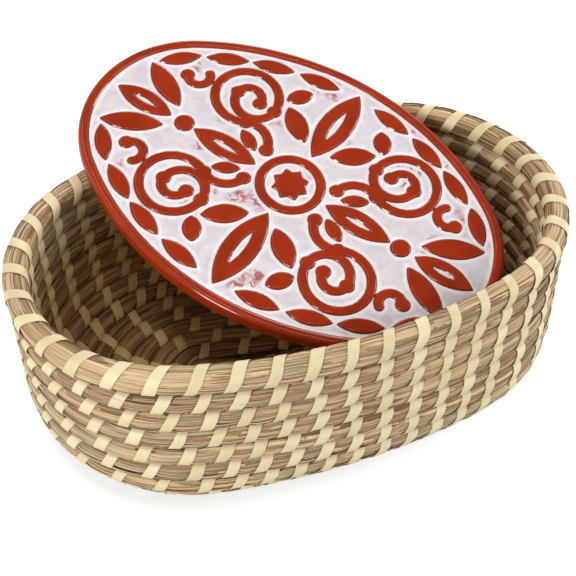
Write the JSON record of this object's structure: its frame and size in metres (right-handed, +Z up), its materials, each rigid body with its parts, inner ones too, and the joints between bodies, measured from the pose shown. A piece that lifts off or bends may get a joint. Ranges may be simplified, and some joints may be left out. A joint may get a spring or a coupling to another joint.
{
  "type": "bread warmer basket",
  "caption": "Oval coiled seagrass bread basket sewn with pale leaf strips, with a loose oval terracotta warming tile in white glaze leaning on its rim.",
  "frame": {"origin": "middle of the basket's underside, on the surface that it stands on", "axes": "+Z up, +X along the basket, -Y towards its front"},
  "size_m": [0.3053, 0.2462, 0.1355],
  "materials": {
    "seagrass": "dried seagrass bundle, matt, straw to brown with dark gaps",
    "leaf_strip": "split dried leaf strip, satin, cream",
    "terracotta": "orange-red terracotta under a clear gloss glaze",
    "white_glaze": "opaque white gloss glaze"
  },
  "bodies": {
    "basket": {"base_coil": "seagrass", "wall_coil": "seagrass", "rim_coil": "seagrass", "base_stitches_1": "leaf_strip", "base_stitches_2": "leaf_strip", "base_stitches_3": "leaf_strip", "base_stitches_4": "leaf_strip", "base_stitches_5": "leaf_strip", "base_stitches_6": "leaf_strip", "wall_stitches_1": "leaf_strip", "wall_stitches_2": "leaf_strip", "wall_stitches_3": "leaf_strip", "wall_stitches_4": "leaf_strip", "wall_stitches_5": "leaf_strip", "wall_stitches_6": "leaf_strip", "wall_stitches_7": "leaf_strip", "wall_stitches_8": "leaf_strip", "rim_stitches": "leaf_strip"},
    "tile": {"warming_tile": "terracotta", "tile_glaze": "white_glaze"}
  },
  "joints": [
    {"name": "tile_lift", "type": "slide", "parent": "basket", "child": "tile", "axis": [0, 0, 1], "range_m": [0, 0.1]}
  ]
}
